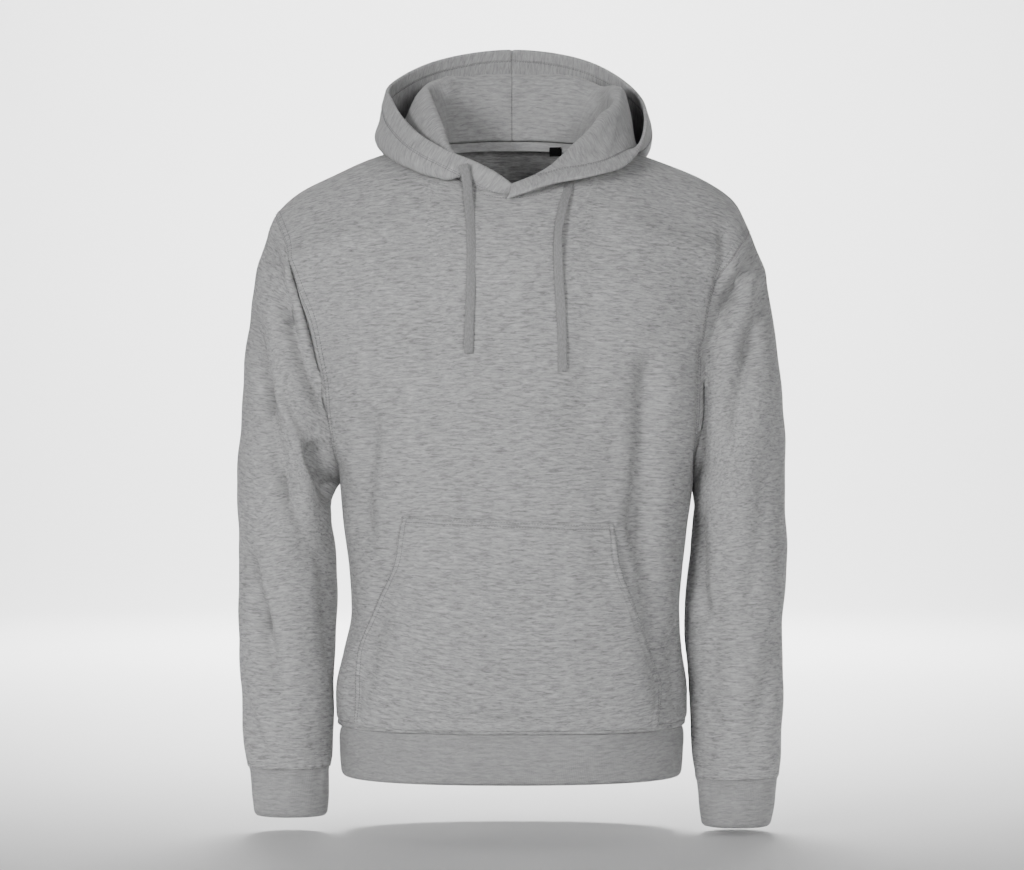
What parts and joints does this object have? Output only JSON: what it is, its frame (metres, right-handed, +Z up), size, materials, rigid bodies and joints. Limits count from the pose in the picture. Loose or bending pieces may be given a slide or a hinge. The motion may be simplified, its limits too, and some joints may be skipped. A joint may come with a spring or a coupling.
{
  "type": "pullover hoodie",
  "caption": "Heather grey pullover hoodie, filled out and hollow, with a hood laid back on the shoulders, a kangaroo pocket, banded cuffs and hem, and a flat drawcord.",
  "frame": {"origin": "inside the neck, at the height of the shoulders' inner ends, where a wearer's neck and shoulders hold the garment", "axes": "+Z up towards the hood, the front faces -Y, +X to the viewer's right"},
  "size_m": [0.6321, 0.3238, 0.905],
  "materials": {
    "fleece": "heather grey brushed-back fleece, matt, short light and dark flecks along the knit",
    "rib": "smooth grey jersey band, a little darker than the fleece, matt",
    "cord": "flat knitted tubular cord in grey, matt, its ends stitched flat",
    "tape": "self-colour neck tape, matt",
    "label": "plain bare black woven loop"
  },
  "bodies": {
    "root": {"front_panel": "fleece", "back_panel": "fleece", "sleeve_left": "fleece", "sleeve_right": "fleece", "pocket": "fleece", "hood_left": "fleece", "hood_right": "fleece", "cuff_left": "rib", "cuff_right": "rib", "hem_band": "rib", "drawcord_left": "cord", "drawcord_right": "cord", "neck_tape": "tape", "size_label": "label"}
  },
  "joints": []
}
